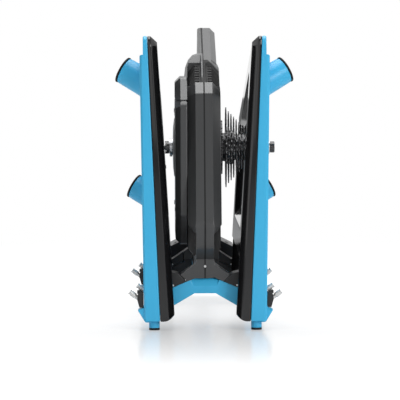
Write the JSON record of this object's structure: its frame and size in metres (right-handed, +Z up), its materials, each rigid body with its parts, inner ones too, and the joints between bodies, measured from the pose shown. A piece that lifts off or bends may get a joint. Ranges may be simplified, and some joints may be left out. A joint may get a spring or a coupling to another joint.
{
  "type": "direct drive bike trainer",
  "caption": "Folding direct drive bike trainer: black faceted casing with a cassette on its hub, between two blue wings folded up at its sides",
  "frame": {"origin": "middle of the folded trainer's footprint on the floor", "axes": "+X to the sprocket side, +Y forward from the rear of the wings to the nose, +Z up"},
  "size_m": [0.2576, 0.62, 0.4345],
  "materials": {
    "paint": "satin sky blue paint on cast aluminium",
    "casing": "fine textured dark grey moulding",
    "cover": "black moulding with a low sheen",
    "rubber": "matt black rubber",
    "steel": "ground steel",
    "chrome": "bright chrome",
    "black_steel": "black coated steel",
    "copper": "enamelled copper windings",
    "board": "green circuit board"
  },
  "bodies": {
    "base": {"base_frame": "paint", "shell_right": "casing", "shell_left": "casing", "vent_grille_right": "cover", "vent_grille_left": "cover", "nose_cover": "cover", "motor_cover": "casing", "hub_dish": "casing", "arch_cover_rear_left": "cover", "hinge_pin_rear_left": "steel", "arch_cover_rear_right": "cover", "hinge_pin_rear_right": "steel", "arch_cover_front_left": "cover", "hinge_pin_front_left": "steel", "arch_cover_front_right": "cover", "hinge_pin_front_right": "steel", "axle": "steel", "end_cap_left": "steel", "end_cap_right": "steel", "skewer": "black_steel", "skewer_nut": "black_steel", "bearing_left": "steel", "bearing_right": "steel", "stator": "copper", "circuit_board": "board", "power_inlet": "cover", "arch_apron_left": "cover", "arch_apron_right": "cover"},
    "rotor": {"rotor_disc": "steel", "magnet_ring": "black_steel", "drive_flange": "black_steel"},
    "freehub": {"freehub_body": "steel", "sprocket_cluster_large": "black_steel", "sprocket_cluster_middle": "black_steel", "sprocket_15t": "black_steel", "sprocket_14t": "black_steel", "sprocket_13t": "black_steel", "sprocket_12t": "black_steel", "sprocket_11t": "black_steel", "lockring": "black_steel"},
    "left_lock_pin_rear_body": {"left_lock_pin_rear": "chrome"},
    "left_lock_pin_front_body": {"left_lock_pin_front": "chrome"},
    "left_wing": {"left_wing_frame": "paint", "left_wing_cover": "cover", "left_foot_pad_rear": "rubber", "left_stand_tip_rear": "rubber", "left_lock_block_rear": "cover", "left_foot_pad_front": "rubber", "left_stand_tip_front": "rubber", "left_lock_block_front": "cover"},
    "right_lock_pin_rear_body": {"right_lock_pin_rear": "chrome"},
    "right_lock_pin_front_body": {"right_lock_pin_front": "chrome"},
    "right_wing": {"right_wing_frame": "paint", "right_wing_cover": "cover", "right_foot_pad_rear": "rubber", "right_stand_tip_rear": "rubber", "right_lock_block_rear": "cover", "right_foot_pad_front": "rubber", "right_stand_tip_front": "rubber", "right_lock_block_front": "cover"}
  },
  "joints": [
    {"name": "rotor_spin", "type": "hinge", "parent": "base", "child": "rotor", "pos_m": [0, -0.15, 0.2575], "axis": [1, 0, 0], "continuous": true},
    {"name": "freehub_spin", "type": "hinge", "parent": "rotor", "child": "freehub", "pos_m": [0.05, -0.15, 0.2575], "axis": [1, 0, 0], "continuous": true},
    {"name": "left_wing_fold", "type": "hinge", "parent": "base", "child": "left_wing", "pos_m": [-0.069, 0, 0.035], "axis": [0, -1, 0], "range_deg": [0, 120]},
    {"name": "left_lock_pin_rear_slide", "type": "slide", "parent": "left_wing", "child": "left_lock_pin_rear_body", "axis": [-0.788, 0, 0.6157], "range_m": [0, 0.006], "stiffness_N_per_m": 900},
    {"name": "left_lock_pin_front_slide", "type": "slide", "parent": "left_wing", "child": "left_lock_pin_front_body", "axis": [-0.788, 0, 0.6157], "range_m": [0, 0.006], "stiffness_N_per_m": 900},
    {"name": "right_wing_fold", "type": "hinge", "parent": "base", "child": "right_wing", "pos_m": [0.069, 0, 0.035], "axis": [0, 1, 0], "range_deg": [0, 120]},
    {"name": "right_lock_pin_rear_slide", "type": "slide", "parent": "right_wing", "child": "right_lock_pin_rear_body", "axis": [0.788, 0, 0.6157], "range_m": [0, 0.006], "stiffness_N_per_m": 900},
    {"name": "right_lock_pin_front_slide", "type": "slide", "parent": "right_wing", "child": "right_lock_pin_front_body", "axis": [0.788, 0, 0.6157], "range_m": [0, 0.006], "stiffness_N_per_m": 900}
  ]
}
